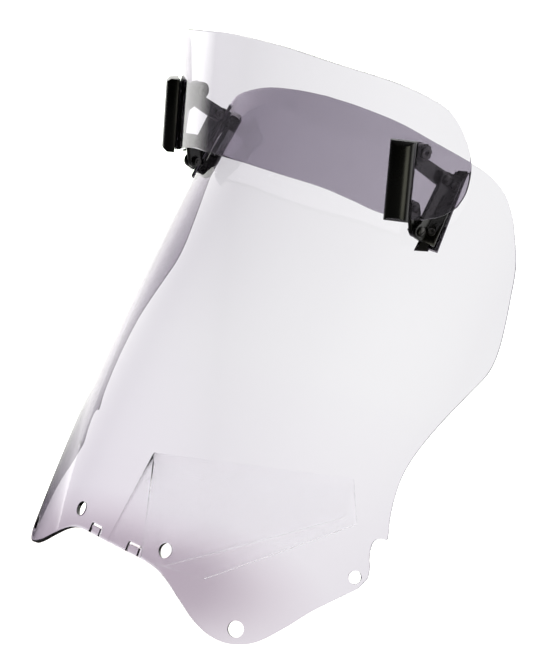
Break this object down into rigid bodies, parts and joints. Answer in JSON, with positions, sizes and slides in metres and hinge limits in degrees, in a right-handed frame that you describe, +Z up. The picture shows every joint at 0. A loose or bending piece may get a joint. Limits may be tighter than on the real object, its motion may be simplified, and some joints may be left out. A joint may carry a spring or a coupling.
{
  "type": "windshield screen",
  "caption": "Tinted motorcycle windshield screen with a spoiler blade on adjustable link arms, leaning on a clear folded wedge.",
  "frame": {"origin": "centre of the bounding box's underside, on the floor the screen stands on", "axes": "+X to the rider's left, -Y forwards, +Z up; mirror plane X = 0"},
  "size_m": [0.4268, 0.2852, 0.4736],
  "materials": {
    "tinted_acrylic": "glossy light smoke tint, see-through",
    "clear_acrylic": "glossy, clear",
    "black_plastic": "fine grain, satin",
    "dark_fastener": "blackened",
    "rubber_pad": "matt"
  },
  "bodies": {
    "screen": {"main_screen": "tinted_acrylic", "support_wedge": "clear_acrylic", "screen_clamp_bar_left": "black_plastic", "screen_clamp_bar_right": "black_plastic", "screen_rear_pad_left": "rubber_pad", "screen_rear_pad_right": "rubber_pad", "screen_front_pad_left": "rubber_pad", "screen_front_pad_right": "rubber_pad", "screen_bracket_left": "black_plastic", "screen_bracket_right": "black_plastic", "screen_upper_pivot_screw_left": "dark_fastener", "screen_upper_pivot_screw_right": "dark_fastener", "screen_upper_pivot_nut_left": "dark_fastener", "screen_upper_pivot_nut_right": "dark_fastener", "screen_lower_pivot_screw_left": "dark_fastener", "screen_lower_pivot_screw_right": "dark_fastener", "screen_lower_pivot_nut_left": "dark_fastener", "screen_lower_pivot_nut_right": "dark_fastener", "screen_clamp_screw_upper_left": "dark_fastener", "screen_clamp_screw_upper_right": "dark_fastener", "screen_clamp_screw_lower_left": "dark_fastener", "screen_clamp_screw_lower_right": "dark_fastener"},
    "lower_link_left": {"lower_link_left": "black_plastic"},
    "lower_link_right": {"lower_link_right": "black_plastic"},
    "upper_link_left": {"upper_link_left": "black_plastic"},
    "upper_link_right": {"upper_link_right": "black_plastic"},
    "blade": {"spoiler_blade": "tinted_acrylic", "blade_clamp_bar_left": "black_plastic", "blade_clamp_bar_right": "black_plastic", "blade_front_pad_left": "rubber_pad", "blade_front_pad_right": "rubber_pad", "blade_rear_pad_left": "rubber_pad", "blade_rear_pad_right": "rubber_pad", "blade_bracket_left": "black_plastic", "blade_bracket_right": "black_plastic", "upper_pivot_bush_left": "dark_fastener", "upper_pivot_bush_right": "dark_fastener", "detent_disc_left": "black_plastic", "detent_disc_right": "black_plastic", "blade_lower_pivot_screw_left": "dark_fastener", "blade_lower_pivot_screw_right": "dark_fastener", "blade_lower_pivot_nut_left": "dark_fastener", "blade_lower_pivot_nut_right": "dark_fastener", "blade_clamp_screw_upper_left": "dark_fastener", "blade_clamp_screw_upper_right": "dark_fastener", "blade_clamp_screw_lower_left": "dark_fastener", "blade_clamp_screw_lower_right": "dark_fastener"}
  },
  "joints": [
    {"name": "lower_link_left_pivot", "type": "hinge", "parent": "screen", "child": "lower_link_left", "pos_m": [0.148, 0.063, 0.3295], "axis": [1, 0, 0], "range_deg": [-9, 18]},
    {"name": "lower_link_right_pivot", "type": "hinge", "parent": "screen", "child": "lower_link_right", "pos_m": [-0.148, 0.063, 0.3295], "axis": [1, 0, 0], "range_deg": [-9.2, 18.2]},
    {"name": "upper_link_left_pivot", "type": "hinge", "parent": "screen", "child": "upper_link_left", "pos_m": [0.148, 0.09, 0.3707], "axis": [1, 0, 0], "range_deg": [-2.63, 5.06]},
    {"name": "upper_link_right_pivot", "type": "hinge", "parent": "screen", "child": "upper_link_right", "pos_m": [-0.148, 0.09, 0.3707], "axis": [1, 0, 0], "range_deg": [-2.63, 5.06]},
    {"name": "blade_pivot", "type": "hinge", "parent": "lower_link_left", "child": "blade", "pos_m": [0.148, 0.0596, 0.3494], "axis": [1, 0, 0], "range_deg": [-23.06, 11.63]}
  ],
  "couplings": [
    {"joint": "lower_link_right_pivot", "follows": "lower_link_left_pivot", "ratio": 1},
    {"joint": "upper_link_left_pivot", "follows": "lower_link_left_pivot", "ratio": 0.27},
    {"joint": "upper_link_right_pivot", "follows": "lower_link_left_pivot", "ratio": 0.27},
    {"joint": "blade_pivot", "follows": "lower_link_left_pivot", "ratio": -1.27}
  ]
}
